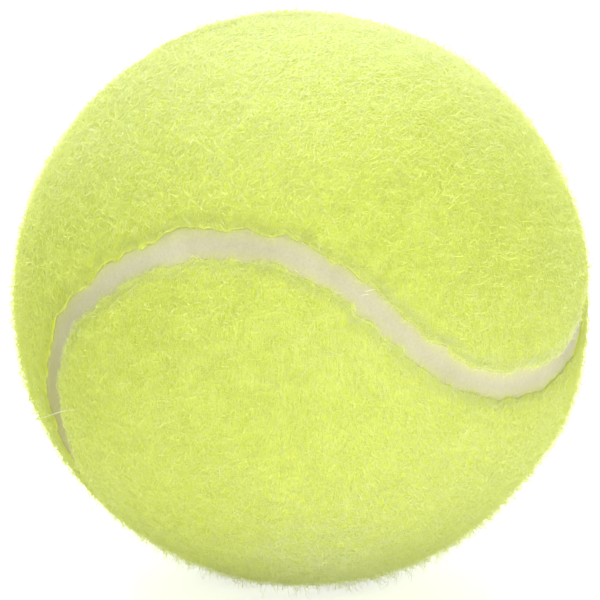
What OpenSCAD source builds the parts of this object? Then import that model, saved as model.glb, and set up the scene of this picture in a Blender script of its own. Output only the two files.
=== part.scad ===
// Tennis ball: a hollow rubber core of two moulded half shells, a rubber-solution coat,
// two dumb-bell panels of cloth felt and the seam that closes the gap between them.
// The origin is the centre of the ball, with +Z up. The core's joint lies in the XY plane.

/* [Ball] */
// Diameter over the felt
ball_d = 66; // [60:0.5:80]
// Turn of the covers on the core, in degrees about X, Y and Z
cover_turn = [-21, -61, 36]; // [-180:1:180]

/* [Felt] */
// Thickness of the felt cloth
felt_t = 2.8; // [2:0.1:4]
// Radius of the rolled edge where the felt meets the seam
edge_roll = 1.2; // [0.6:0.1:2]
// Dried rubber coat on the back of the cloth
back_coat_t = 0.2; // [0.1:0.05:0.4]

/* [Seam] */
// Width of the seam at its top
seam_w = 3; // [2:0.1:5]
// How far the seam lies below the felt
seam_depth = 1.1; // [0.5:0.1:1.8]

/* [Core] */
// Wall of the moulded half shells
shell_wall = 3.4; // [2.5:0.1:5]
// Chamfer inside each rim, which the bond fills
rim_chamfer = 0.7; // [0.3:0.1:1.2]
// Thickness of the bond between the two rims
bond_t = 0.3; // [0.1:0.05:0.6]
// Radius of the bead that is pressed out inside the joint
bead_r = 0.6; // [0.4:0.1:1]
// Rubber-solution coat all round the core
core_coat_t = 0.2; // [0.1:0.05:0.4]

/* [Fit] */
// Clearance between one layer and the next, and beside the seam
layer_gap = 0.02; // [0.01:0.01:0.05]
// Stations along the whole seam line, in fours
stations = 120; // [80:4:160]

/* [Hidden] */
$fn = 96;

felt_colour = "#cfe35c";
back_colour = "#d8cfb4";
seam_colour = "#cfc9ae";
rubber_colour = "#4a4744";
solution_colour = "#8c7f6c";

// The layers from the outside inwards, as radii
ball_r = ball_d / 2;
felt_in_r = ball_r - felt_t;
back_out_r = felt_in_r - layer_gap;
back_in_r = back_out_r - back_coat_t;
coat_out_r = back_in_r - layer_gap;
coat_in_r = coat_out_r - core_coat_t;
shell_r = coat_in_r - layer_gap;
air_r = shell_r - shell_wall;
seam_top_r = ball_r - seam_depth;

// How far cutting shapes run past what they cut
overrun = ball_r / 8;

// Shape of the seam line, as shares of the ball's radius. It is a sum of waves round the ball:
// the first and third make the S, and the fifth and sixth square its lobes.
lobe_share = 0.25;
square_share = -0.084;
shoulder_share = -0.062;
climb_share = 2 * sqrt(lobe_share * (1 - lobe_share));

// How far a panel's spine reaches, as a share of the way from the waist to the lobe's end
spine_share = 0.68;

// Steps in the quarter round of a rolled edge, and rows across a panel outside the ball
roll_steps = 4;
cap_rows = 3;

function unit(v) = v / norm(v);

// Direction of the seam line at the angle t, from the centre of the ball
function seam_dir(t) = unit([
    (1 - lobe_share) * cos(t) + lobe_share * cos(3 * t) + square_share * cos(5 * t),
    (1 - lobe_share) * sin(t) - lobe_share * sin(3 * t) + square_share * sin(5 * t),
    climb_share * sin(2 * t) + shoulder_share * sin(6 * t)]);

// Direction square to the seam line and to the ball's radius, into panel a
turn_step = 180 / stations;
function into_panel(t) =
    unit(cross(seam_dir(t), seam_dir(t + turn_step) - seam_dir(t - turn_step)));

// Direction of the point that lies beside the seam line by w, measured along the seam's top
function beside_seam(t, w) =
    let (angle = w / seam_top_r * 180 / PI)
    cos(angle) * seam_dir(t) + sin(angle) * into_panel(t);

// Station i counts round from the end of panel a's first lobe, where t is -45 degrees
function station_t(i) = -45 + 360 * i / stations;

// Panel a's spine is an arc over +Z. Two stations that face each other share a point of it.
lobe_end = acos(seam_dir(-45).z);
function spine_dir(j) =
    let (s = lobe_end * spine_share * cos(360 * j / stations))
    [sin(s), -sin(s), sqrt(2) * cos(s)] / sqrt(2);
function facing(i) = min(i % stations, stations - i % stations);

// The sector of space, from the centre outwards, that holds panel a. Its side wall follows
// profile, a list of [distance beside the seam line, radius], and its top lies at top_r.
module panel_sector(profile, top_r) {
    walls = len(profile);
    rows = walls + cap_rows;
    wall_points = [for (p = profile) for (i = [0 : stations - 1])
        p[1] * beside_seam(station_t(i), p[0])];
    edge_w = profile[walls - 1][0];
    cap_points = [for (k = [0 : cap_rows - 1]) for (i = [0 : stations - 1])
        let (share = k / cap_rows)
        top_r * unit((1 - share) * beside_seam(station_t(i), edge_w) + share * spine_dir(facing(i)))];
    spine_points = [for (j = [0 : stations / 2]) top_r * spine_dir(j)];
    centre = rows * stations;
    spine = centre + 1;
    next = [for (i = [0 : stations - 1]) (i + 1) % stations];
    foot = [for (i = [0 : stations - 1]) [centre, i, next[i]]];
    skin = [for (k = [0 : rows - 2]) for (i = [0 : stations - 1]) each [
        [k * stations + i, (k + 1) * stations + i, k * stations + next[i]],
        [k * stations + next[i], (k + 1) * stations + i, (k + 1) * stations + next[i]]]];
    last = (rows - 1) * stations;
    crown = [for (i = [0 : stations - 1]) each [
        [last + i, spine + facing(i), last + next[i]],
        [last + next[i], spine + facing(i), spine + facing(i + 1)]]];
    polyhedron(points = concat(wall_points, cap_points, [[0, 0, 0]], spine_points),
               faces = concat(foot, skin, crown), convexity = 6);
}

// The side wall of a panel: up beside the seam, then round the rolled edge and out of the ball
panel_edge = seam_w / 2 + layer_gap;
roll_foot_r = ball_r - edge_roll;
roll_top_angle = 72;
roll_profile = [for (k = [0 : roll_steps])
    let (angle = roll_top_angle * k / roll_steps)
    [panel_edge + edge_roll * (1 - cos(angle)), roll_foot_r + edge_roll * sin(angle)]];
roll_end = roll_profile[roll_steps] +
    edge_roll * [sin(roll_top_angle), cos(roll_top_angle)];

module shell(outer_r, inner_r) {
    difference() {
        sphere(outer_r);
        sphere(inner_r);
    }
}

// One moulded half of the core, upright, with its rim ground flat and chamfered inside
module half_shell() {
    rim_z = bond_t / 2 + layer_gap;
    difference() {
        shell(shell_r, air_r);
        translate([0, 0, rim_z - ball_r]) cylinder(h = ball_r, r = ball_r);
        translate([0, 0, rim_z]) cylinder(h = rim_chamfer, r1 = air_r + rim_chamfer, r2 = air_r);
    }
}

module half_shell_upper() {
    color(rubber_colour) half_shell();
}

module half_shell_lower() {
    color(rubber_colour) mirror([0, 0, 1]) half_shell();
}

// The bond fills the gap between the rims and their chamfers, with a bead inside
module joint_ring() {
    ring_in_r = air_r - layer_gap;
    color(solution_colour) rotate_extrude() {
        polygon([[shell_r, -bond_t / 2],
                 [shell_r, bond_t / 2],
                 [ring_in_r + rim_chamfer, bond_t / 2],
                 [ring_in_r, bond_t / 2 + rim_chamfer],
                 [ring_in_r, -bond_t / 2 - rim_chamfer],
                 [ring_in_r + rim_chamfer, -bond_t / 2]]);
        translate([ring_in_r, 0]) circle(bead_r);
    }
}

module core_coat() {
    color(solution_colour) shell(coat_out_r, coat_in_r);
}

// Turns a panel's sector onto the core. Panel b is the same panel, turned half round.
module cover_a() {
    rotate(cover_turn) children();
}

module cover_b() {
    rotate(cover_turn) rotate([180, 0, 0]) children();
}

// The dried coat on the back of the panel whose sector is given
module back_coat() {
    color(back_colour) intersection() {
        shell(back_out_r, back_in_r);
        children();
    }
}

module coat_sector() {
    panel_sector([[panel_edge, felt_in_r]], ball_r + overrun);
}

module back_coat_a() {
    back_coat() cover_a() coat_sector();
}

module back_coat_b() {
    back_coat() cover_b() coat_sector();
}

// The felt of the panel whose sector is given
module felt_panel() {
    color(felt_colour) intersection() {
        shell(ball_r, felt_in_r);
        children();
    }
}

module felt_sector() {
    panel_sector(concat(roll_profile, [roll_end]), ball_r + overrun);
}

module felt_panel_a() {
    felt_panel() cover_a() felt_sector();
}

module felt_panel_b() {
    felt_panel() cover_b() felt_sector();
}

// A band of space along the whole seam line, of the seam's width
module seam_band(inner_r, outer_r) {
    corners = [[-seam_w / 2, inner_r], [seam_w / 2, inner_r],
               [seam_w / 2, outer_r], [-seam_w / 2, outer_r]];
    sides = len(corners);
    points = [for (i = [0 : stations - 1]) for (c = corners) c[1] * beside_seam(station_t(i), c[0])];
    faces = [for (i = [0 : stations - 1]) for (k = [0 : sides - 1])
        let (here = i * sides, there = (i + 1) % stations * sides, up = (k + 1) % sides)
        each [[here + k, there + k, here + up], [here + up, there + k, there + up]]];
    polyhedron(points = points, faces = faces, convexity = 6);
}

// The seam stands on the core's coat and ends below the felt
module seam() {
    color(seam_colour) intersection() {
        shell(seam_top_r, coat_out_r + layer_gap);
        rotate(cover_turn) seam_band(coat_in_r, ball_r);
    }
}

half_shell_upper();
half_shell_lower();
joint_ring();
core_coat();
back_coat_a();
back_coat_b();
felt_panel_a();
felt_panel_b();
seam();
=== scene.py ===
# %% [markdown]
# # A felt-covered tennis ball
#
# A tennis ball is a hollow rubber core with two dumb-bell panels of cloth felt wrapped round it.
# Pale seam rubber closes the gap between them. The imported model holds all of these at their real
# size. This lesson dresses it: the felt becomes a lumpy cloth with more than two hundred thousand
# fibres, the seam gets its wandering edges, and every rubber piece gets its own finish.

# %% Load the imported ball
import math

import bpy
import numpy as np
from mathutils import Euler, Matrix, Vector


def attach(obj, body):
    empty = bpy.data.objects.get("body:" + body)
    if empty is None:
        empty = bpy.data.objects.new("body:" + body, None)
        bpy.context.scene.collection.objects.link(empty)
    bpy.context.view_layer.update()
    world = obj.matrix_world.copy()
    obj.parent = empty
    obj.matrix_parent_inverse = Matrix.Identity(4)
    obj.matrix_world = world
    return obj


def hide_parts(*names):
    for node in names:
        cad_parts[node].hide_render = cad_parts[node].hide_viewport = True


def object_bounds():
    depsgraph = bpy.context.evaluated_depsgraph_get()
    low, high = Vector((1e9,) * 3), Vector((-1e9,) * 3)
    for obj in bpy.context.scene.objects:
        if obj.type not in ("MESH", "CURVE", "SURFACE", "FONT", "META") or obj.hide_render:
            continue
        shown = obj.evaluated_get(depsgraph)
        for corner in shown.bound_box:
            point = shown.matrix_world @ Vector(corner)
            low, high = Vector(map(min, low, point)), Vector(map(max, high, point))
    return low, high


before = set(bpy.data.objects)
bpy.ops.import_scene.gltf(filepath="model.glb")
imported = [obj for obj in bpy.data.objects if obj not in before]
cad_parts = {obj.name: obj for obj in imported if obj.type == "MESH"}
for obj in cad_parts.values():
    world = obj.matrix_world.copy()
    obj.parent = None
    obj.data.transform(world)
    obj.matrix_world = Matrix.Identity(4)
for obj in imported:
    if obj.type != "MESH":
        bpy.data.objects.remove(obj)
cad_low, cad_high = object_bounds()
ball_r = (cad_high.z - cad_low.z) / 2
print("nodes:", sorted(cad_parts), "ball radius:", round(ball_r, 5), "m")

# %% [markdown]
# ## The sizes
#
# Every length below is a real size, written in millimetres and turned to metres once. The ball's
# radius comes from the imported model, and the felt's thickness and the seam's sizes repeat what
# they measure there. The nap is the fuzz of loose fibres on the cloth. It counts in the ball's
# size, so the cloth itself lies a little below the gauge size.

# %% Sizes of the felt and the seam
MM = 0.001
felt_t, seam_w, side_gap = 2.8 * MM, 3.0 * MM, 0.02 * MM
seam_depth, seam_foot_depth, nap_depth = 1.1 * MM, 3.2 * MM, 0.41 * MM
felt_back_r, cloth_r = ball_r - felt_t, ball_r - nap_depth
seam_top_r, seam_foot_r = ball_r - seam_depth, ball_r - seam_foot_depth
edge_w = seam_w / 2 + side_gap
roll_wide, roll_deep = 2.1 * MM, 0.33 * MM
print("cloth lies", round((ball_r - cloth_r) / MM, 2), "mm under the gauge size")

# %% [markdown]
# ## The seam line
#
# Both panels have one and the same outline, so the line between them must look the same from
# either panel. A sum of waves does that: once and three times round gives the S, and five and six
# times round squares its lobes, as on the real blanks. The line is worked out in its own
# symmetric frame and then turned by three angles to lie as it does in the photograph.

# %% Seam line
LOBE, SQUARE, SHOULDER = 0.25, -0.084, -0.062
CLIMB = 2 * math.sqrt(LOBE * (1 - LOBE))
LOBE_START = math.radians(-45)
COVER_TURN = np.array(Euler([math.radians(a) for a in (-21, -61, 36)], "XYZ").to_matrix())
HALF_ROUND = np.diag([1.0, -1.0, -1.0])


def unit(v):
    """Each vector divided by its own length."""
    return v / np.linalg.norm(v, axis=-1, keepdims=True)


def seam_dir(t):
    """Directions of the seam line: waves of 1, 3 and 5 turns in x and y, and of 2 and 6 in z."""
    x = (1 - LOBE) * np.cos(t) + LOBE * np.cos(3 * t) + SQUARE * np.cos(5 * t)
    y = (1 - LOBE) * np.sin(t) - LOBE * np.sin(3 * t) + SQUARE * np.sin(5 * t)
    z = CLIMB * np.sin(2 * t) + SHOULDER * np.sin(6 * t)
    return unit(np.stack([x, y, z], -1))


def into_panel(t, step=1e-3):
    """Directions square to the seam line, into panel a: the line crossed with its own slope."""
    return unit(np.cross(seam_dir(t), seam_dir(t + step) - seam_dir(t - step)))


def beside_seam(t, w):
    """Directions of points that lie w beside the seam line, measured along the seam's top."""
    angle = np.asarray(w / seam_top_r)[..., None]
    return np.cos(angle) * seam_dir(t) + np.sin(angle) * into_panel(t)


def turned(points, half_round=False):
    """Points of the seam line's own frame, turned to where they lie on the ball."""
    if half_round:
        points = points @ HALF_ROUND.T
    return points @ COVER_TURN.T


whole_turn = np.linspace(0, 2 * np.pi, 4001)
line = seam_dir(whole_turn) * seam_top_r
seam_length = np.linalg.norm(np.diff(line, axis=0), axis=1).sum()
print("seam line:", round(seam_length / MM, 1), "mm long")

# %% [markdown]
# ## Unevenness that can be repeated
#
# Cloth that is stretched by hand over a core is never quite even. Smooth random values on a
# lattice give lumps of one chosen size, and two or three sizes together look like steamed felt.
# The lattice values come from a seeded table, so that the ball is the same on every run.

# %% Lattice noise
TABLE = np.random.default_rng(7).permutation(256)
LEVELS = np.random.default_rng(11).uniform(-1, 1, 256)
LATTICE_SHIFT, LAYER_SHIFT = 37.5, 17.0


def lumps(points, size, layer=0):
    """Values from -1 to 1 that change smoothly over size metres. Each point's lattice cell has a
    random value at its eight corners, and a smooth step blends them along x, y and z. A layer is
    another part of the lattice, so that two patterns don't rise and fall together."""
    cell = points / size + LATTICE_SHIFT + LAYER_SHIFT * layer
    base = np.floor(cell).astype(int)
    part = cell - base
    part = part * part * (3 - 2 * part)
    total = np.zeros(points.shape[:-1])
    for corner in np.ndindex(2, 2, 2):
        x, y, z = np.moveaxis((base + corner) & 255, -1, 0)
        value = LEVELS[TABLE[(TABLE[(TABLE[x] + y) & 255] + z) & 255]]
        weight = np.prod(np.where(corner, part, 1 - part), axis=-1)
        total += value * weight
    return total


# %% [markdown]
# ### Swells of the cloth
#
# In a few places the real ball's outline isn't round: the cloth lies full, or it was pulled tight.
# A list of those places is easier to change than a sculpted mesh. Each gets a bell-shaped rise or
# dip, on top of the lumps that are everywhere.

# %% Swells and lumps
# Where the cloth lies full or was pulled tight: direction, reach and height in mm
FULL = [((0.91, -0.11, -0.40), 5.0, 0.52), ((0.98, 0.05, 0.18), 5.0, 0.14),
        ((0.31, 0.25, 0.92), 7.5, -0.24), ((-0.47, 0.23, 0.85), 6.0, 0.30),
        ((-0.81, 0.15, 0.57), 5.0, -0.18)]


def bells(direction, places):
    """The sum of bell-shaped rises and dips. Each place is a direction from the centre, a reach in
    mm and a height, and its bell falls off with the distance in all directions."""
    total = np.zeros(direction.shape[:-1])
    for middle, reach, height in places:
        apart = np.linalg.norm(direction - np.array(middle), axis=-1) * ball_r / MM
        total += height * np.exp(-((apart / reach) ** 2))
    return total


def cloth_lumps(direction):
    """How far the cloth swells or sinks, in metres: swells of 9 mm, tufts of 3.4 mm and grain of
    1.5 mm, and the full and tight places."""
    p = direction * ball_r
    swells, tufts, grain = lumps(p, 9 * MM), lumps(p, 3.4 * MM, 1), lumps(p, 1.5 * MM, 2)
    return (0.12 * swells + 0.05 * tufts + 0.025 * grain + bells(direction, FULL)) * MM


print("lumps reach", round(float(np.abs(cloth_lumps(seam_dir(whole_turn))).max() / MM), 3), "mm")

# %% [markdown]
# ### Wandering edges
#
# The panels' edges are laid by hand and sunk in wet rubber, so each wanders beside the seam line by
# a few tenths of a millimetre. Lumps of three sizes do that. Where the photograph shows a larger
# stray, a list moves the edge by a bell-shaped bump.

# %% How far the edges wander
# Where the edges stray furthest: the place along the line and the reach of the stray part, in
# degrees, the side of the line, and how far the edge moves away from the line, in mm
STRAYED = [(209, 6, 1, -1.1), (207, 6, -1, 1.4), (223, 4, 1, 0.4), (223, 4, -1, -0.35),
           (241, 3, 1, 1.2), (248, 6, 1, 0.4), (263, 4, 1, 0.25), (273, 3, -1, 0.4),
           (280, 3, 1, 0.35), (291, 3, -1, 0.65), (296, 3, 1, 0.35), (304, 3, -1, 0.6),
           (310, 3, 1, 0.8), (311, 3, -1, 0.5), (318, 4, 1, -1.4), (318, 4, -1, -0.7)]


def degrees_past(place, t):
    """How far t, in radians, lies past the place, in degrees from -180 to 180."""
    return (np.degrees(t) - place + 180) % 360 - 180


def edge_wander(t, side):
    """How far a panel's cut edge wanders beside the seam line, in metres, on side -1 or 1: waves of
    5 mm, tufts of 2 mm and fringes of 0.9 mm, and a bell-shaped bump at each strayed place."""
    p = seam_dir(t) * ball_r
    waves = 0.42 * lumps(p, 5 * MM, 3 + side) + 0.45 * lumps(p, 2.0 * MM, 7 + side)
    waves += 0.34 * lumps(p, 0.9 * MM, 11 + side)
    for place, reach, strayed_side, shift in STRAYED:
        if strayed_side == side:
            waves += shift * np.exp(-((degrees_past(place, t) / reach) ** 2))
    return waves * MM


for side in (1, -1):
    furthest = np.abs(edge_wander(whole_turn, side)).max() / MM
    print("edge on side", side, "wanders up to", round(float(furthest), 2), "mm")

# %% [markdown]
# ## Meshes from grids
#
# Each new surface is a grid of points, worked out as one array. A grid that closes on itself
# needs no rims. Writing the arrays straight into the mesh is fast enough for a million corners.

# %% Grid helpers
def give_values(piece, name, values):
    """One number at each point of the piece, kept under a name that a material can read."""
    kept = piece.data.attributes.new(name, "FLOAT", "POINT")
    kept.data.foreach_set("value", np.asarray(values, np.float32).ravel())


def mesh_from_arrays(name, points, faces, smooth=True):
    """A mesh object from an array of points and an array of faces, all with as many corners."""
    sides = faces.shape[1]
    mesh = bpy.data.meshes.new(name)
    mesh.vertices.add(len(points))
    mesh.vertices.foreach_set("co", np.asarray(points, np.float32).ravel())
    mesh.loops.add(faces.size)
    mesh.loops.foreach_set("vertex_index", np.asarray(faces, np.int32).ravel())
    mesh.polygons.add(len(faces))
    mesh.polygons.foreach_set("loop_start", np.arange(0, faces.size, sides, dtype=np.int32))
    mesh.polygons.foreach_set("use_smooth", np.full(len(faces), smooth))
    mesh.update(calc_edges=True)
    piece = bpy.data.objects.new(name, mesh)
    bpy.context.scene.collection.objects.link(piece)
    return piece


def grid_faces(index, closed_rows=False):
    """Quads between the rows of an index grid. Its columns close on themselves, and so do its rows
    where closed_rows is set."""
    below = index if closed_rows else index[:-1]
    above = np.roll(index, -1, axis=0) if closed_rows else index[1:]
    below_ahead, above_ahead = np.roll(below, -1, axis=1), np.roll(above, -1, axis=1)
    return np.stack([below, below_ahead, above_ahead, above], -1).reshape(-1, 4)


# %% [markdown]
# ## The felt panels
#
# A panel is a dumb-bell of cloth: it goes over the core from one lobe through a narrow waist to
# the other lobe. Its cut edge stands beside the seam and rolls over to the outside. A grid follows
# that: each column starts at the panel's spine on the back of the cloth, runs out to the edge, up
# and round the roll, and back to the spine on the outside. Columns that face each other across
# the panel share their spine points, so the panel is one closed form.

# %% Panel grid
COLUMNS = 1080
BACK_ROWS, WALL_ROWS, ROLL_ROWS, FRONT_ROWS = 3, 4, 9, 26
# How far the spine reaches on the way from the waist to a lobe's end
SPINE_SHARE = 0.68
LOBE_END = math.acos(float(seam_dir(np.array(LOBE_START))[2]))
column_t = LOBE_START + 2 * np.pi * np.arange(COLUMNS) / COLUMNS
facing = np.minimum(np.arange(COLUMNS), COLUMNS - np.arange(COLUMNS))


def spine_dir():
    """Directions along a panel's spine, an arc over +Z between the middles of its two lobes."""
    s = LOBE_END * SPINE_SHARE * np.cos(2 * np.pi * np.arange(COLUMNS // 2 + 1) / COLUMNS)
    return np.stack([np.sin(s), -np.sin(s), math.sqrt(2) * np.cos(s)], -1) / math.sqrt(2)


def toward_spine(rows, share):
    """Directions that lie the given share of the way from the edge rows to the spine."""
    goal = spine_dir()[facing]
    return unit((1 - share)[:, None, None] * rows + share[:, None, None] * goal)


print("columns are", round(seam_length / COLUMNS / MM, 2), "mm apart along the seam line")

# %% Rolled edge
ROLL_FROM = math.radians(33)


def roll_height(inward):
    """Radius of the cloth at a share of the roll's width in from the cut edge. It climbs along an
    ellipse, from steep at the edge to level: sine over cosine, both brought to that size."""
    level = np.sqrt(1 - (math.cos(ROLL_FROM) * (1 - inward)) ** 2)
    return cloth_r - roll_deep * (1 - level) / (1 - math.sin(ROLL_FROM))


print("cut edge lies", round((cloth_r - roll_height(0)) / MM, 2), "mm under the cloth")


# %% The two cloths
def panel_piece(name, half_round):
    """One felt panel. The roll is part of an ellipse, from the side wall to the outside, and the
    lumps push each outer point along its own direction."""
    side = -1 if half_round else 1
    wander = edge_wander(-column_t if half_round else column_t, side)
    inward = 1 - np.cos(np.linspace(ROLL_FROM, np.pi / 2, ROLL_ROWS)) / math.cos(ROLL_FROM)
    roll_w = edge_w + roll_wide * inward
    roll_r = roll_height(inward)
    wall_r = np.linspace(felt_back_r, roll_r[0], WALL_ROWS + 1)[:-1]
    side_w = np.concatenate([np.full(WALL_ROWS, edge_w), roll_w])[:, None] + wander
    side_dir = beside_seam(column_t, side_w)
    side_r = np.concatenate([wall_r, roll_r])[:, None]
    back = toward_spine(side_dir[0], np.linspace(1, 0, BACK_ROWS + 2)[1:-1])
    front = toward_spine(side_dir[-1], np.linspace(0, 1, FRONT_ROWS + 2)[1:-1])
    directions = np.concatenate([back, side_dir, front])
    back_r, front_r = np.full((BACK_ROWS, 1), felt_back_r), np.full((FRONT_ROWS, 1), cloth_r)
    radii = np.concatenate([back_r, side_r, front_r])
    swell = np.clip((radii - roll_r[0]) / roll_deep, 0, 1)
    shown = turned(directions, half_round)
    points = shown * (radii + swell * cloth_lumps(shown))[..., None]
    spine = turned(spine_dir(), half_round)
    back_spine = spine * felt_back_r
    front_spine = spine * (cloth_r + cloth_lumps(spine))[:, None]

    rows = len(directions)
    index = np.arange(rows * COLUMNS).reshape(rows, COLUMNS)
    back_index = rows * COLUMNS + facing
    front_index = back_index + COLUMNS // 2 + 1
    index = np.concatenate([back_index[None], index, front_index[None]])
    everything = np.concatenate([points.reshape(-1, 3), back_spine, front_spine])
    return mesh_from_arrays(name, everything, grid_faces(index))


cloth_a = panel_piece("felt_cloth_a", False)
cloth_b = panel_piece("felt_cloth_b", True)
print("quads in a cloth:", len(cloth_a.data.polygons))

# %% [markdown]
# ## The seam
#
# The seam is a liquid rubber that is brushed on the cut edges and cures in the mould as one
# closed ring. It fills whatever gap the two wandering edges leave, from the core's coat almost to
# the top, so its own edges wander with them. The ring is a profile of a few points, carried round
# the whole seam line. Loose fibres stick in the wet rubber near both edges and tint it yellow
# there, and one stretch of it is painted olive grey as shade, so each point also keeps how strongly.

# %% Seam ring
FACE_POINTS = 13
SOAK_IN = 0.1 * MM
# How far the face lies above the solid seam's top, and what it gains at its edges, in mm
FACE_LIFT, EDGE_CREEP = 0.07, 0.20
# How strongly stuck fibres tint the edges, and how fast that falls off; where a stretch of painted
# shade lies, and its reach
STUCK_AT_EDGE, STUCK_POWER = 0.6, 1.6
SHADE_STRETCH_AT, SHADE_STRETCH_REACH = 206, 15


def seam_piece(name):
    """The seam ring: a flat foot, two side walls and a face that creeps up at both edges with the
    square of the share u across. A point that lies the share u across, from -1 to 1, lies u times
    the half width beside the line. The face rises and sinks with lumps of 2.6 and 0.9 mm. The
    rubber soaks a little way into both cut edges, so no gap is left beside it."""
    across = np.linspace(-1, 1, FACE_POINTS)
    share = np.concatenate([[-1, 1], across[::-1]])[:, None]
    wander = np.where(share > 0, edge_wander(column_t, 1), edge_wander(column_t, -1))
    half_w = edge_w + SOAK_IN + wander
    face_r = seam_top_r + (EDGE_CREEP * across**2 + FACE_LIFT) * MM
    profile_r = np.concatenate([[seam_foot_r] * 2, face_r])[:, None]
    directions = turned(beside_seam(column_t, share * half_w))
    p = directions * ball_r
    rise = 0.07 * lumps(p, 2.6 * MM, 5) + 0.03 * lumps(p, 0.9 * MM, 6)
    radii = profile_r + np.where(profile_r > seam_foot_r, rise * MM, 0)
    points = (directions * radii[..., None]).reshape(-1, 3)
    index = np.arange(len(share) * COLUMNS).reshape(-1, COLUMNS)
    ring = mesh_from_arrays(name, points, grid_faces(index, closed_rows=True))
    stuck = STUCK_AT_EDGE * np.abs(share) ** STUCK_POWER
    give_values(ring, "stuck_fibres", np.broadcast_to(stuck, radii.shape))
    # One stretch of the seam is painted olive grey as shade
    painted_shade_stretch = np.exp(-((degrees_past(SHADE_STRETCH_AT, column_t) / SHADE_STRETCH_REACH) ** 2))
    give_values(ring, "painted_shade_stretch", np.broadcast_to(painted_shade_stretch, radii.shape))
    return ring


seam_ring = seam_piece("seam_rubber_ring")
print("quads in the seam ring:", len(seam_ring.data.polygons))

# %% [markdown]
# ## The camera
#
# The photograph was taken from a little above the ball, with a long lens: the ball fills nearly
# the whole picture, and more than its front half barely shows. A few stray fibres are placed by
# where they lie in the picture, so the camera comes before them.

# %% Camera
# In pixels: the picture's side, and the ball's radius and centre in it
PICTURE = 600
RADIUS_PIXELS = 289
CENTRE_X, CENTRE_Y = 301.5, 297.8
CAMERA_RADII = 20
CAMERA_ABOVE = math.radians(15)
SENSOR = 36.0

camera_data = bpy.data.cameras.new("camera")
camera = bpy.data.objects.new("camera", camera_data)
bpy.context.scene.collection.objects.link(camera)
bpy.context.scene.camera = camera
away = Vector((0, -math.cos(CAMERA_ABOVE), math.sin(CAMERA_ABOVE)))
camera.location = away * ball_r * CAMERA_RADII
camera.rotation_euler = (-away).to_track_quat("-Z", "Y").to_euler()
focal_pixels = RADIUS_PIXELS * math.sqrt(CAMERA_RADII**2 - 1)
camera_data.sensor_width = SENSOR
camera_data.lens = SENSOR * focal_pixels / PICTURE
camera_data.shift_x = (PICTURE / 2 - CENTRE_X) / PICTURE
camera_data.shift_y = (CENTRE_Y - PICTURE / 2) / PICTURE
camera_data.clip_start = 0.01
bpy.context.scene.view_settings.view_transform = "Standard"
print("lens:", round(camera_data.lens, 1), "mm")


# %% From the picture to the ball
def on_ball(pixels, radius):
    """Points where the lines of sight through the pixels first meet a sphere of that radius: the
    nearer of the two places along each line that lie the radius from the centre."""
    x, y = np.asarray(pixels, float).reshape(-1, 2).T
    right, up, back = np.array(camera.rotation_euler.to_matrix()).T
    slope_x, slope_y = (x - CENTRE_X) / focal_pixels, (CENTRE_Y - y) / focal_pixels
    ray = unit(slope_x[:, None] * right + slope_y[:, None] * up - back)
    eye = np.array(camera.location)
    toward = ray @ eye
    reach = -toward - np.sqrt(np.maximum(toward**2 - eye @ eye + radius**2, 0))
    return eye + reach[:, None] * ray


# %% [markdown]
# ## The nap
#
# The fuzz is what makes felt look like felt. Wool and nylon fibres are teased out of the cloth,
# and they lie on it, tangled and curved, combed a little one way. Each fibre here is a closed thin
# tube of three sides that tapers to a point at both ends. It is drawn about one and a half times
# as thick as a real one, which would be too thin to show. Its root is a random place on the ball,
# its path is a short random walk over the cloth, and it lifts a little on the way.

# %% Where a direction lies on the cover
sample_dir = turned(seam_dir(column_t)).astype(np.float32)
sample_into = turned(into_panel(column_t)).astype(np.float32)
sample_edge = {side: edge_w + edge_wander(column_t, side) for side in (-1, 1)}
BLOCK = 20000


def nearest_sample(direction):
    """Which sample of the seam line lies nearest to each direction, in blocks to save memory."""
    flat = direction.reshape(-1, 3).astype(np.float32)
    blocks = [flat[start : start + BLOCK] for start in range(0, len(flat), BLOCK)]
    found = [(block @ sample_dir.T).argmax(1) for block in blocks]
    return np.concatenate(found).reshape(direction.shape[:-1])


def beside(direction):
    """How far each direction lies beside the nearest point of the seam line, in metres, and how far
    beside it the cut edge lies there. The first is negative on panel b."""
    nearest = nearest_sample(direction)
    along = np.einsum("...j,...j->...", direction, sample_into[nearest])
    reach = np.einsum("...j,...j->...", direction, sample_dir[nearest])
    w = np.arctan2(along, reach) * seam_top_r
    return w, np.where(w > 0, sample_edge[1][nearest], sample_edge[-1][nearest])


def ground_r(direction, w, edge):
    """Radius of the felt or seam under each direction. Over the roll it follows the ellipse, and
    over the seam it is the seam's top."""
    roll = roll_height(np.clip((np.abs(w) - edge) / roll_wide, 0, 1))
    felt = roll + np.clip((roll - seam_top_r) / roll_deep, 0, 1) * cloth_lumps(direction)
    return np.maximum(seam_top_r, felt)


top_w = beside(np.array([[0.0, 0.0, 1.0]]))[0]
print("the ball's top lies", round(float(top_w[0]) / MM, 1), "mm beside the seam line")

# %% [markdown]
# ### Lost dye, painted haze and painted shade
#
# The photograph shows broad areas, one to two centimetres wide, where the felt is paler or deeper.
# The paler ones at the top and lower front are painted haze, a painted highlight, and the deeper
# one at the left side is painted shade. Each is a bell over the ball, as the swells of the cloth
# are, and the fibres that grow there keep its strength.

# %% Lost dye, painted haze and painted shade
# The share of the dye that is gone everywhere, and the places where painted haze makes the nap
# paler, or painted shade makes it deeper where the share is negative: direction, reach in mm and
# share
WASHED_ALL = 0.12
PAINTED_HAZE_AND_SHADE = [((-0.40, -0.20, 0.89), 19.0, 0.32), ((0.35, 0.05, 0.93), 17.0, 0.32),
          ((0.40, -0.75, -0.55), 14.0, 0.14), ((-0.87, -0.47, -0.10), 12.0, -0.12)]
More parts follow.
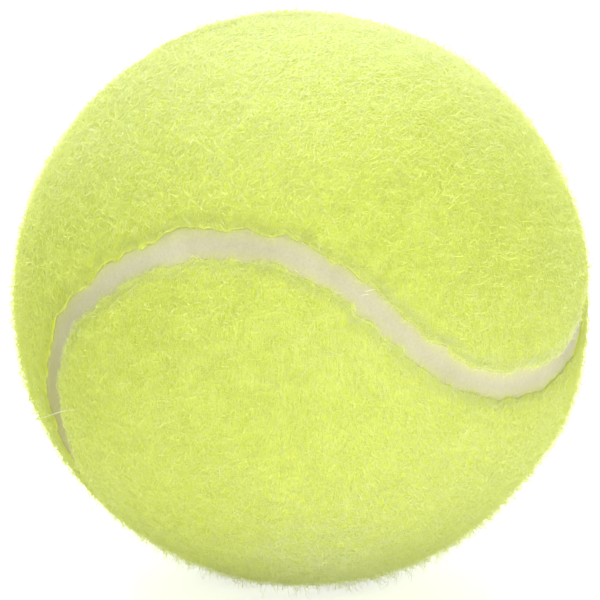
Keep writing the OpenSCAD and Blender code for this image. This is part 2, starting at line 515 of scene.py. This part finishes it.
# Where the tint is painted deeper as shade, or painted paler as light if the last value is negative:
# direction, reach in mm and change of tint
PAINTED_SHADE_AND_LIGHT = [((-0.88, -0.45, 0.0), 13.0, 0.45), ((-0.75, -0.30, 0.58), 10.0, -0.20),
        ((0.0, -0.92, -0.05), 9.0, 0.16), ((0.05, -0.67, -0.74), 11.0, -0.40)]


def dye_loss_and_painted_haze(direction):
    """How pale the nap is made in each direction, from lost dye and painted haze: a little everywhere,
    more as painted haze or less as painted shade at the listed places, and a slight change over 6 mm."""
    patches = 0.03 * lumps(direction * ball_r, 6 * MM, 40)
    return (WASHED_ALL + bells(direction, PAINTED_HAZE_AND_SHADE) + patches).clip(0, 1)


# Lost dye and painted haze together along the seam line
along_line = dye_loss_and_painted_haze(sample_dir)
print("dye lost along the seam line:", round(float(along_line.min()), 2), "to",
      round(float(along_line.max()), 2))

# %% [markdown]
# ### Painted light and shade beside the seam
#
# The felt's rolled edges beside the seam are painted a little deeper, as painted shade, along some
# stretches, and a little paler, as painted light, along others. In the photograph this is strong
# along some stretches and missing along others, and the two sides don't agree, so each side has its
# own strength, which swings as one goes round the seam line.

# %% Painted light and shade beside the seam
# For each side of the line: the change of tint, painted shade where it is positive and painted
# light where it is negative, and how far it swings
SEAM_EDGE_LIGHT_AND_SHADE = {1: (0.12, 0.36), -1: (0.06, -0.18)}
SEAM_EDGE_SWING_AT = math.radians(225)
SEAM_EDGE_SHADE_MIDDLE, SEAM_EDGE_SHADE_REACH = 0.9 * MM, 1.0 * MM


def seam_edge_light_and_shade(direction, w, edge):
    """How much darker the felt beside the seam is painted, as a change of tint: painted shade where it
    is positive, painted light where it is negative. It is strongest 0.9 mm in from the cut edge, and
    it swings twice along the seam line."""
    t = column_t[nearest_sample(direction)]
    swing = np.cos(2 * (t - SEAM_EDGE_SWING_AT))
    above, below = (level + most * swing for level, most in (SEAM_EDGE_LIGHT_AND_SHADE[1], SEAM_EDGE_LIGHT_AND_SHADE[-1]))
    strength = np.where(w > 0, above, below)
    return strength * np.exp(-(((np.abs(w) - edge - SEAM_EDGE_SHADE_MIDDLE) / SEAM_EDGE_SHADE_REACH) ** 2))


# The range of painted shade, and of painted light where it is negative, on each side
for side, (level, most) in SEAM_EDGE_LIGHT_AND_SHADE.items():
    print("side", side, "is soaked by", round(level - abs(most), 2), "to", round(level + abs(most), 2))

# %% [markdown]
# ### How a fibre runs
#
# A fibre is a short random walk over the cloth that starts along the combing and turns at each
# step. It is worked out for all fibres at once, as flat steps round the root. Each point is then
# put at the height of the cloth below it, so that a fibre follows the lumps and the rolled edge.

# %% Headings
COMB_SIZE, COMB_DRIFT = 22 * MM, [0.55, 0.0, 0.12]


def tangents(roots):
    """Two directions square to each root and to each other, along the ball's surface."""
    east = unit(np.cross(roots, [0.31, 0.17, 0.93]))
    return east, np.cross(roots, east)


def heading_along(roots, flow):
    """The heading of the flow at each root: the angle from the first tangent to the second."""
    east, north = tangents(roots)
    return np.arctan2(np.einsum("ij,ij->i", flow, north), np.einsum("ij,ij->i", flow, east))


def combed(rng, roots, spread):
    """A heading for each root: a flow that runs mostly along X and swings over 22 mm, and each
    fibre's own turn away from it, with the given spread in radians."""
    p = roots * ball_r
    flow = np.stack([lumps(p, COMB_SIZE, 20 + k) for k in range(3)], -1) + COMB_DRIFT
    return heading_along(roots, flow) + rng.normal(0, spread, len(roots))


# %% Fibre paths
# How much of the bend a fibre has all along and anew at each step, the least and most shares of
# the slope and the arch in its climb, and how far it stays off the cloth
BEND_ALL, BEND_STEP = 0.7, 0.6
SLOPE, ARCH = (0.3, 1.6), (0, 2.4)
OFF_CLOTH = 0.01 * MM


def fibre_paths(rng, roots, length, heading, bend, lift, steps, low_share):
    """Points of each fibre, as (fibre, steps + 1, 3), a little closer together at the root. The
    heading turns at each step. The path is bent round the ball, and it climbs from the ground by
    about the given lift, along a slope and an arch of random shares. The lift sinks to low_share of
    itself beside the seam."""
    count = len(roots)
    east, north = tangents(roots)
    sway = rng.normal(0, 1, (count, 1)) * BEND_ALL + rng.normal(0, BEND_STEP, (count, steps))
    angles = heading[:, None] + np.cumsum(sway * bend, axis=1)
    s = np.concatenate([[0], (np.arange(steps - 1) + 0.7) / (steps - 0.3), [1]])
    pace = length[:, None] * np.diff(s)
    walks = []
    for part in (np.cos(angles), np.sin(angles)):
        walk = np.concatenate([np.zeros((count, 1)), np.cumsum(part * pace, axis=1)], axis=1)
        walks.append((walk - walk.mean(axis=1, keepdims=True))[..., None])
    on_felt = unit(roots[:, None] + (walks[0] * east[:, None] + walks[1] * north[:, None]) / ball_r)
    w, edge = beside(on_felt)
    climb = rng.uniform(*SLOPE, (count, 1)) * s + rng.uniform(*ARCH, (count, 1)) * s * (1 - s)
    near_edge = np.clip((np.abs(w) - edge) / roll_wide, low_share, 1)
    height = ground_r(on_felt, w, edge) + OFF_CLOTH + lift[:, None] * climb * near_edge
    return on_felt * height[..., None], w, edge


def grown(rng, roots, length, heading, bend, lift, overhang, steps=2, low_share=0.35):
    """The paths of the fibres that stay on one panel and hang over its edge by no more than a random
    length of about overhang, and how far each point lies beside the seam line."""
    paths, w, edge = fibre_paths(rng, roots, length, heading, bend, lift, steps, low_share)
    limit = rng.gamma(1.5, overhang, len(w))[:, None]
    kept = (np.abs(w) > edge - limit).all(axis=1) & (np.sign(w) == np.sign(w[:, :1])).all(axis=1)
    return paths[kept], w[kept]


# %% Fibre tubes
def fibre_piece(name, paths, radius, tint):
    """One mesh of many fibres. Every inner point of a path gets a ring of three corners round it,
    with one flat side up, and its first and last points are the tips. Each fibre's tint is kept as
    an attribute. Flat sides light as evenly as the cloth does, so that the nap stays soft. The
    fibres under the ball are pressed flat by what it rests on."""
    paths = paths.copy()
    paths[..., 2] = np.maximum(paths[..., 2], radius[:, None] - ball_r)
    count, steps = len(paths), paths.shape[1] - 1
    run = unit(paths[:, 2:] - paths[:, :-2])
    across = unit(np.cross(run, paths[:, 1:-1]))
    up = np.cross(across, run)
    turn = np.radians([30, 150, 270])
    ring = (np.cos(turn)[:, None] * across[:, :, None] + np.sin(turn)[:, None] * up[:, :, None])
    rings = paths[:, 1:-1, None] + ring * radius[:, None, None, None]
    points = np.concatenate([paths[:, :1], rings.reshape(count, -1, 3), paths[:, -1:]], axis=1)
    corners = points.shape[1]
    faces = []
    for k in range(3):
        ahead = (k + 1) % 3
        faces.append([0, 1 + ahead, 1 + k])
        for step in range(steps - 2):
            here, there = 1 + 3 * step, 4 + 3 * step
            faces.append([here + k, here + ahead, there + k])
            faces.append([here + ahead, there + ahead, there + k])
        faces.append([corners - 4 + k, corners - 4 + ahead, corners - 1])
    every = np.array(faces)[None] + corners * np.arange(count)[:, None, None]
    piece = mesh_from_arrays(name, points.reshape(-1, 3), every.reshape(-1, 3), smooth=False)
    give_values(piece, "tint", np.repeat(tint, corners))
    return piece


# %% Roots, sizes and tints
def scattered(rng, count, jitter=0.008):
    """Even directions all over the ball, on a sunflower spiral, each moved a little."""
    golden = np.pi * (1 + math.sqrt(5)) * np.arange(count)
    height_share = 1 - 2 * (np.arange(count) + 0.5) / count
    level = np.sqrt(1 - height_share**2)
    even = np.stack([level * np.cos(golden), level * np.sin(golden), height_share], -1)
    return unit(even + rng.normal(0, jitter, even.shape))


def random_mm(rng, count, shape, scale, low, high, plus=0.0):
    """Random lengths in metres. In mm they follow a gamma spread of that shape and scale, which
    leans to the short side, with plus added, and they are held between low and high."""
    return (plus + rng.gamma(shape, scale, count)).clip(low, high) * MM


def patchy_tint(rng, paths):
    """A tint from 0 to 0.9 for each fibre, mostly near the middle, that changes over 2.2 mm too."""
    patches = 0.09 * lumps(paths[:, 0], 2.2 * MM, 30)
    return (rng.beta(9, 9, len(paths)) + patches).clip(0, 0.9)


# %% Fibres as pieces of each panel
nap_pieces = {"a": [], "b": []}


def nap_on_panels(rng, name, parts, paths, w, tint, thin, thick):
    """The fibres of each panel as so many pieces, so that none gets too large. Their radius lies
    between thin and thick, in mm. Beside the seam and at the listed places their tint is changed, as
    painted shade where it is lower and painted light where it is higher, and each fibre also keeps its
    lost dye and painted haze."""
    radius = rng.uniform(thin, thick, len(paths)) * MM
    middle = unit(paths[:, 1])
    # Painted shade and painted light beside the seam and at the listed places
    tint = tint - seam_edge_light_and_shade(middle, *beside(middle)) - bells(middle, PAINTED_SHADE_AND_LIGHT)
    # Each fibre keeps its lost dye and painted haze
    dye_loss_and_haze = dye_loss_and_painted_haze(middle)
    for panel, side in (("a", 1), ("b", -1)):
        mine = np.flatnonzero(np.sign(w[:, 0]) == side)
        for part in range(parts):
            some = mine[part::parts]
            piece = fibre_piece(f"{name}_{panel}_{part + 1}", paths[some], radius[some], tint[some])
            corners = len(piece.data.vertices) // len(some)
            give_values(piece, "dye_loss_and_painted_haze", np.repeat(dye_loss_and_haze[some], corners))
            nap_pieces[panel].append(piece)


# %% [markdown]
# ### Lying fibres
#
# More than a third of the nap lies almost flat. The eye reads these fibres as the felt's surface:
# pale strokes over a slightly deeper ground. A few of them are painted almost white as glints, a
# painted highlight.

# %% Scatter the lying nap
GLINT_SHARE = 0.006
rng = np.random.default_rng(2026)
roots = scattered(rng, 92000)
length = random_mm(rng, len(roots), shape=5, scale=0.30, low=0.6, high=3.8)
lift = random_mm(rng, len(roots), shape=2.0, scale=0.06, low=0, high=0.35)
heading = combed(rng, roots, spread=0.8)
paths, path_w = grown(rng, roots, length, heading, bend=0.4, lift=lift, overhang=0.16 * MM)
tint = patchy_tint(rng, paths)
# Painted glints: a few fibres get the white end of the tint
tint[rng.uniform(0, 1, len(paths)) < GLINT_SHARE] = 1.0
nap_on_panels(rng, "lying_nap", 2, paths, path_w, tint, thin=0.020, thick=0.038)
print("lying fibres:", len(paths))

# %% [markdown]
# ### Rising fibres
#
# Nearly half of the nap has been teased up. It points every way and ends above the cloth. Seen
# along the surface, at the ball's outline, it makes the edge fade out instead of stopping.

# %% Scatter the rising nap
roots = scattered(rng, 106000)
length = random_mm(rng, len(roots), shape=6, scale=0.17, low=0.45, high=2.2)
lift = random_mm(rng, len(roots), shape=1.4, scale=0.36, low=0.05, high=1.5)
heading = combed(rng, roots, spread=1.4)
paths, path_w = grown(rng, roots, length, heading, bend=0.5, lift=lift, overhang=0.14 * MM)
tint = patchy_tint(rng, paths)
nap_on_panels(rng, "rising_nap", 2, paths, path_w, tint, thin=0.018, thick=0.034)
print("rising fibres:", len(paths))

# %% [markdown]
# ### Fringes beside the seam
#
# A cut edge frays. Short fine fibres hang over the seam from both panels, so that its edges look
# ragged and soft. They are scattered along the seam line and point across it. There must not be
# many: a dense fringe turns into a smooth dark band, because light gets lost in it.

# %% Scatter the fringes
count = 24000
fringe_t = rng.uniform(0, 2 * np.pi, count)
fringe_side = rng.choice([-1, 1], count)
fringe_wander = np.where(fringe_side > 0, edge_wander(fringe_t, 1), edge_wander(fringe_t, -1))
fringe_in = edge_w + fringe_wander + rng.gamma(1.4, 0.34, count) * MM
roots = turned(beside_seam(fringe_t, fringe_side * fringe_in))
heading = heading_along(roots, turned(into_panel(fringe_t))) + rng.normal(0, 1.1, count)
length = random_mm(rng, count, shape=5, scale=0.28, low=0.5, high=3.0)
lift = random_mm(rng, count, shape=2.0, scale=0.09, low=0, high=0.45)
paths, path_w = grown(rng, roots, length, heading, bend=0.5, lift=lift, overhang=0.36 * MM,
                      low_share=1.0)
tint = rng.beta(8, 6, len(paths)).clip(0, 0.9)
nap_on_panels(rng, "fringe", 1, paths, path_w, tint, thin=0.018, thick=0.033)
print("fringe fibres:", len(paths))

# %% [markdown]
# ### Standing hairs
#
# Thin hairs arch out of the nap. From the front they hardly show, but they reach furthest past the
# ball's outline, and their tint is painted deeper, as shade, which keeps them visible against white.

# %% Scatter the standing hairs
roots = scattered(rng, 25000)
length = random_mm(rng, len(roots), shape=5, scale=0.26, low=0.7, high=3.0)
lift = random_mm(rng, len(roots), shape=2.0, scale=0.28, low=0, high=1.6, plus=0.25)
heading = combed(rng, roots, spread=1.6)
paths, path_w = grown(rng, roots, length, heading, bend=0.5, lift=lift, overhang=0.10 * MM, steps=3)
# The hairs' deeper tint is painted shade
tint = rng.uniform(0.0, 0.4, len(paths))
nap_on_panels(rng, "hairs", 2, paths, path_w, tint, thin=0.014, thick=0.024)
print("standing hairs:", len(paths))

# %% [markdown]
# ### Stray fibres
#
# A few loose fibres catch the eye in the photograph: a long one at the left, which lies over the
# felt and bridges the seam, two short ones on the seam, and some bright curls. All are white, and
# the bright curls are painted glints, a painted highlight.

# %% Stray fibres
STRAY_PIXELS = [
    [(39.5, 418.4), (47.5, 416), (55, 413.6), (62, 411.2), (70, 410), (80, 409.6)],
    [(364.5, 291.8), (366.5, 291.2), (369, 290.6), (371, 290), (373, 289.6), (375.5, 289.3)],
    [(361.5, 295.2), (363, 295), (364.6, 294.8), (366.2, 294.6), (368, 294.5), (369.6, 294.3)],
    [(236.5, 311.5), (237.2, 313), (238.4, 314.6), (239.6, 314.4), (240.4, 313.2), (240.8, 311.6)],
    [(52, 197), (55, 191), (59, 186), (63, 181), (66, 177), (69, 174)],
    [(300.5, 373.5), (301.6, 374.4), (303, 374.2), (304.4, 372.8), (305.6, 370.6), (306.2, 368.6)],
]
stray_r = ball_r + 0.35 * MM
stray_radius = np.array([0.030, 0.026, 0.022, 0.024, 0.018, 0.022]) * MM
# All strays get the white end of the tint; on the bright curls this is a painted glint
stray_tint = np.ones(len(STRAY_PIXELS))
stray_paths = np.stack([on_ball(pixels, stray_r) for pixels in STRAY_PIXELS])
nap_pieces["a"].append(fibre_piece("stray_fibres", stray_paths, stray_radius, stray_tint))
all_nap = nap_pieces["a"] + nap_pieces["b"]
print("nap pieces:", [(p.name, len(p.data.polygons)) for p in all_nap])

# %% [markdown]
# ## Finishes
#
# Each finish is a small tree of nodes. Colours are written as sRGB hex values, and one function
# turns them to linear light. One more function adds a node, sets its values and links it. A Mix
# node's sockets share their names, so they go by number: 0 is the share, 2 and 3 are its two
# values, and 6 and 7 its two colours.

# %% Material helpers
def srgb(code):
    """Linear red, green, blue and alpha of an sRGB hex colour."""
    values = [int(code[i : i + 2], 16) / 255 for i in (1, 3, 5)]
    linear = [v / 12.92 if v <= 0.04045 else ((v + 0.055) / 1.055) ** 2.4 for v in values]
    return (*linear, 1.0)


def add(tree, kind, links=None, stops=(), **settings):
    """A new node. links maps an input to the socket or value that feeds it, stops are the places and
    hex colours of a colour ramp, and the other settings are the node's own."""
    node = tree.nodes.new(kind)
    for key, value in settings.items():
        setattr(node, key, value)
    for key, value in (links or {}).items():
        if isinstance(value, bpy.types.NodeSocket):
            tree.links.new(value, node.inputs[key])
        else:
            node.inputs[key].default_value = value
    for _ in stops[2:]:
        node.color_ramp.elements.new(0.5)
    for index, (place, code) in enumerate(stops):
        node.color_ramp.elements[index].position = place
        node.color_ramp.elements[index].color = srgb(code)
    return node


def new_material(name, values):
    """A material whose tree holds a Principled shader with the given values, and the output."""
    material = bpy.data.materials.new(name)
    material.use_nodes = True
    tree = material.node_tree
    tree.nodes.clear()
    shader = add(tree, "ShaderNodeBsdfPrincipled", values)
    add(tree, "ShaderNodeOutputMaterial", {"Surface": shader.outputs[0]})
    return material, tree, shader


# %% [markdown]
# ### Steamed wool and nylon felt
#
# The cloth under the nap is a dense tangle of the same fibres: optic yellow and matt, with painted
# shade that makes it a little darker and more olive in its hollows. Its strokes are drawn coarser
# than real fibres, so that they show. The eye gets them as the ground between the fibres of the nap.

# %% Felt cloth
def felt_cloth_finish():
    """Matt yellow-green. Four noises of 0.14 mm, each stretched twelve times along another line, and
    the highest of them at each point: a tangle of pale strokes on deeper ground. The same tangle
    sets the bump, so its low parts are painted darker as shade, mixed with random tufts of 2.2 mm."""
    material, tree, shader = new_material("steamed_wool_felt", {
        "Roughness": 0.95, "Specular IOR Level": 0.15, "Sheen Weight": 0.3,
        "Sheen Roughness": 0.5, "Sheen Tint": srgb("#fbfde8")})
    place = add(tree, "ShaderNodeTexCoord").outputs["Object"]
    tangle = 0.0
    for turn in ((0.3, 0.2, 0.1), (1.5, 0.4, 0.3), (0.2, 1.4, 0.5), (0.9, 0.8, 1.2)):
        laid = add(tree, "ShaderNodeMapping",
                   {"Vector": place, "Rotation": turn, "Scale": (1, 1, 1 / 12)})
        strokes = add(tree, "ShaderNodeTexNoise",
                      {"Vector": laid.outputs[0], "Scale": 1 / (0.14 * MM), "Detail": 1.0})
        highest = add(tree, "ShaderNodeMath", {0: tangle, 1: strokes.outputs[0]}, operation="MAXIMUM")
        tangle = highest.outputs[0]
    tufts = add(tree, "ShaderNodeTexNoise", {"Vector": place, "Scale": 1 / (2.2 * MM), "Detail": 2.0})
    mixed = add(tree, "ShaderNodeMix", {0: 0.25, 2: tangle, 3: tufts.outputs[0]})
    # The low parts of the tangle, the hollows of the bump, get the darker olive: painted shade
    shades = [(0.42, "#c6ce48"), (0.56, "#d5dc5a"), (0.68, "#e2e876")]
    colour = add(tree, "ShaderNodeValToRGB", {0: mixed.outputs[0]}, stops=shades)
    tree.links.new(colour.outputs[0], shader.inputs["Base Color"])
    bump = add(tree, "ShaderNodeBump", {"Height": tangle, "Strength": 0.5, "Distance": 0.1 * MM})
    tree.links.new(bump.outputs[0], shader.inputs["Normal"])
    return material


felt_cloth = felt_cloth_finish()
print("felt cloth:", len(felt_cloth.node_tree.nodes), "nodes")

# %% [markdown]
# ### Dyed fibres
#
# A wool or nylon fibre is clear under its dye, so light goes through it and comes out yellow.
# That is what keeps real felt bright in its own shadows. Scattering under the surface does this
# here, and a thin coat gives the pale haze that felt has near its outline.

# %% Nap fibres
def nap_finish():
    """Each fibre has its own tint from olive yellow to nearly white-yellow, and is paler where its dye
    is lost or painted haze lies on it. Light passes through it, so that the nap has no hard shadows,
    and a thin glossy skin gives the pale haze where the light grazes it."""
    material, tree, shader = new_material("dyed_wool_nylon_fibre", {
        "Roughness": 0.5, "Specular IOR Level": 0.8, "Subsurface Weight": 0.85,
        "Subsurface Radius": (1.0, 1.0, 0.5), "Subsurface Scale": 0.1 * MM,
        "Coat Weight": 0.8, "Coat Roughness": 0.35, "Sheen Weight": 0.2,
        "Sheen Roughness": 0.5, "Sheen Tint": srgb("#e4fab4")})
    tint = add(tree, "ShaderNodeAttribute", attribute_name="tint").outputs["Fac"]
    shades = [(0.0, "#d1d82f"), (0.5, "#e4ea60"), (0.85, "#f4f69a"), (1.0, "#fefee4")]
    colour = add(tree, "ShaderNodeValToRGB", {0: tint}, stops=shades)
    # This attribute holds lost dye and painted haze, which mix the tint toward a pale yellow
    dye_loss_and_haze = add(tree, "ShaderNodeAttribute", attribute_name="dye_loss_and_painted_haze").outputs["Fac"]
    pale = srgb("#f4f8d2")
    dyed = add(tree, "ShaderNodeMix", {0: dye_loss_and_haze, 6: colour.outputs[0], 7: pale}, data_type="RGBA")
    tree.links.new(dyed.outputs[2], shader.inputs["Base Color"])
    return material


fibre = nap_finish()
print("nap fibres:", len(fibre.node_tree.nodes), "nodes")

# %% [markdown]
# ### Cured seam rubber
#
# The seam is matt, dry rubber of a pale warm grey. Close up it has a fine grain and is a little
# smudged, and the fibres that are stuck near its edges make it look yellow there.

# %% Seam rubber
def seam_finish():
    """Pale warm grey, smudged over 5 mm, with a grain of 0.3 mm specks and tiny pits. Near its edges
    it takes on the felt's yellow in flecks of 0.25 mm, and one stretch is painted olive grey as shade."""
    material, tree, shader = new_material("cured_seam_rubber", {
        "Roughness": 0.8, "Specular IOR Level": 0.3})
    place = add(tree, "ShaderNodeTexCoord").outputs["Object"]
    smudge = add(tree, "ShaderNodeTexNoise", {"Vector": place, "Scale": 1 / (5 * MM), "Detail": 3.0})
    specks = add(tree, "ShaderNodeTexNoise", {"Vector": place, "Scale": 1 / (0.3 * MM), "Detail": 2.0})
    mixed = add(tree, "ShaderNodeMix", {0: 0.4, 2: smudge.outputs[0], 3: specks.outputs[0]})
    shades = [(0.3, "#bdb495"), (0.5, "#c8bfa5"), (0.7, "#d2cab2")]
    colour = add(tree, "ShaderNodeValToRGB", {0: mixed.outputs[0]}, stops=shades)
    flecks = add(tree, "ShaderNodeTexNoise", {"Vector": place, "Scale": 1 / (0.25 * MM), "Detail": 1.0})
    stuck = add(tree, "ShaderNodeAttribute", attribute_name="stuck_fibres").outputs["Fac"]
    share = add(tree, "ShaderNodeMath", {0: stuck, 1: flecks.outputs[0]}, operation="MULTIPLY")
    doubled = add(tree, "ShaderNodeMath", {0: share.outputs[0], 1: 2.0},
                  operation="MULTIPLY", use_clamp=True)
    yellow = srgb("#d2d46e")
    tinted = add(tree, "ShaderNodeMix", {0: doubled.outputs[0], 6: colour.outputs[0], 7: yellow},
                 data_type="RGBA")
    # The olive grey stretch is painted shade
    painted_shade_stretch = add(tree, "ShaderNodeAttribute", attribute_name="painted_shade_stretch").outputs["Fac"]
    olive = srgb("#b0aa72")
    final = add(tree, "ShaderNodeMix", {0: painted_shade_stretch, 6: tinted.outputs[2], 7: olive}, data_type="RGBA")
    tree.links.new(final.outputs[2], shader.inputs["Base Color"])
    bump = add(tree, "ShaderNodeBump",
               {"Height": specks.outputs[0], "Strength": 0.4, "Distance": 0.08 * MM})
    tree.links.new(bump.outputs[0], shader.inputs["Normal"])
    return material


seam_rubber = seam_finish()
print("seam rubber:", len(seam_rubber.node_tree.nodes), "nodes")

# %% [markdown]
# ### Rubber inside the ball
#
# Nobody sees these until the ball is cut open. The core is nearly black moulded rubber, the
# solution dries to a satin brown film, and the coat on the back of the cloth is pale latex. They
# differ in colour, grain and gloss only, so one function makes all three.

# %% Core, solution and backing
def rubber_finish(name, dark, light, grain_size, roughness):
    """A moulded or dried rubber: two close shades over 6 mm, and a fine grain in the bump."""
    material, tree, shader = new_material(name, {"Roughness": roughness})
    place = add(tree, "ShaderNodeTexCoord").outputs["Object"]
    cloud = add(tree, "ShaderNodeTexNoise", {"Vector": place, "Scale": 1 / (6 * MM), "Detail": 4.0})
    grain = add(tree, "ShaderNodeTexNoise", {"Vector": place, "Scale": 1 / grain_size, "Detail": 2.0})
    shades = [(0.35, dark), (0.65, light)]
    colour = add(tree, "ShaderNodeValToRGB", {0: cloud.outputs[0]}, stops=shades)
    tree.links.new(colour.outputs[0], shader.inputs["Base Color"])
    bump = add(tree, "ShaderNodeBump",
               {"Height": grain.outputs[0], "Strength": 0.3, "Distance": 0.05 * MM})
    tree.links.new(bump.outputs[0], shader.inputs["Normal"])
    return material


core_rubber = rubber_finish("moulded_core_rubber", "#3c3a38", "#4c4946", 0.3 * MM, 0.7)
dried_solution = rubber_finish("dried_rubber_solution", "#85786a", "#978a78", 0.5 * MM, 0.45)
back_rubber = rubber_finish("dried_cloth_backing", "#cfc6ab", "#dcd4bc", 0.4 * MM, 0.75)
print("finishes:", sorted(m.name for m in bpy.data.materials))


# %% Give every piece its finish
def dress(piece, material):
    """The material in the piece's only slot."""
    piece.data.materials.clear()
    piece.data.materials.append(material)


for piece in (cloth_a, cloth_b):
    dress(piece, felt_cloth)
for piece in all_nap:
    dress(piece, fibre)
dress(seam_ring, seam_rubber)
INNER = {"half_shell_upper": core_rubber, "half_shell_lower": core_rubber,
         "joint_ring": dried_solution, "core_coat": dried_solution,
         "back_coat_a": back_rubber, "back_coat_b": back_rubber}
for node, material in INNER.items():
    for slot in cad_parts[node].material_slots:
        slot.material = material
print("dressed:", 3 + len(all_nap) + len(INNER), "pieces")

# %% [markdown]
# ## What each piece stands for
#
# The ball has no joint, so every piece rides on its one body. The two cloths and the seam ring
# take the place of their plain solids, and the nap goes with the felt.

# %% Ride and replace
for piece, node in ((cloth_a, "felt_panel_a"), (cloth_b, "felt_panel_b"), (seam_ring, "seam")):
    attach(piece, "root")
    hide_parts(node)
for piece in all_nap:
    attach(piece, "root")
print("pieces on root:", 3 + len(all_nap))

# %% [markdown]
# ## Floor and light
#
# The photograph is a studio shot on white: soft light from above, a white floor that throws light
# back up, and almost no shadow. The floor's colour is pale for the light that falls on it, and the
# camera sees it with a little more, so that it reads as white and still keeps the ball's shadow.

# %% Floor
FLOOR_HALF = 2.0


def floor_finish():
    """A white sweep. Light Path adds a glow that only the camera sees, also in gloss and glass."""
    material, tree, shader = new_material("white_paper_floor", {
        "Base Color": srgb("#f8f8f6"), "Roughness": 0.9})
    path = add(tree, "ShaderNodeLightPath")
    seen = 0.0
    for ray in ("Is Camera Ray", "Is Glossy Ray", "Is Transmission Ray"):
        either = add(tree, "ShaderNodeMath", {0: seen, 1: path.outputs[ray]}, operation="MAXIMUM")
        seen = either.outputs[0]
    glow = add(tree, "ShaderNodeEmission", {"Color": srgb("#ffffff"), "Strength": 0.7})
    nothing = add(tree, "ShaderNodeEmission", {"Strength": 0.0})
    added = add(tree, "ShaderNodeMixShader", {0: seen, 1: nothing.outputs[0], 2: glow.outputs[0]})
    both = add(tree, "ShaderNodeAddShader", {0: shader.outputs[0], 1: added.outputs[0]})
    tree.links.new(both.outputs[0], tree.nodes["Material Output"].inputs["Surface"])
    return material


corner = np.array([[-1, -1], [1, -1], [1, 1], [-1, 1]]) * FLOOR_HALF
floor_points = np.column_stack([corner, np.full(4, cad_low.z)])
floor = mesh_from_arrays("paper_floor", floor_points, np.array([[0, 1, 2, 3]]), smooth=False)
dress(floor, floor_finish())
print("floor at", round(cad_low.z / MM, 2), "mm")

# %% World
world = bpy.data.worlds.new("studio")
bpy.context.scene.world = world
world.use_nodes = True
world_tree = world.node_tree
world_tree.nodes.clear()
from_camera = add(world_tree, "ShaderNodeLightPath").outputs["Is Camera Ray"]
white = add(world_tree, "ShaderNodeBackground", {"Color": srgb("#ffffff"), "Strength": 1.0})
room = add(world_tree, "ShaderNodeBackground", {"Color": srgb("#d8fad4"), "Strength": 0.28})
world_mix = add(world_tree, "ShaderNodeMixShader",
                {0: from_camera, 1: room.outputs[0], 2: white.outputs[0]})
add(world_tree, "ShaderNodeOutputWorld", {"Surface": world_mix.outputs[0]})
print("world:", len(world_tree.nodes), "nodes")


# %% Lamps
def softbox(name, place, width, height, power):
    """A rectangular lamp at place, in metres, turned to face the ball's centre."""
    lamp = bpy.data.lights.new(name, "AREA")
    lamp.shape, lamp.size, lamp.size_y, lamp.energy = "RECTANGLE", width, height, power
    holder = bpy.data.objects.new(name, lamp)
    holder.location = place
    holder.rotation_euler = (-Vector(place)).to_track_quat("-Z", "Y").to_euler()
    bpy.context.scene.collection.objects.link(holder)


softbox("overhead_softbox", (-0.06, 0.08, 0.60), 0.60, 0.60, 4.7)
softbox("back_softbox", (0.00, 0.50, 0.28), 0.50, 0.50, 2.2)
softbox("right_softbox", (0.50, -0.22, 0.16), 0.40, 0.40, 0.4)
softbox("left_softbox", (-0.50, -0.15, 0.30), 0.40, 0.40, 0.25)
softbox("low_front_card", (0.10, -0.51, -0.01), 0.44, 0.04, 1.5)
print("lamps:", [(lamp.name, round(lamp.energy, 2)) for lamp in bpy.data.lights])
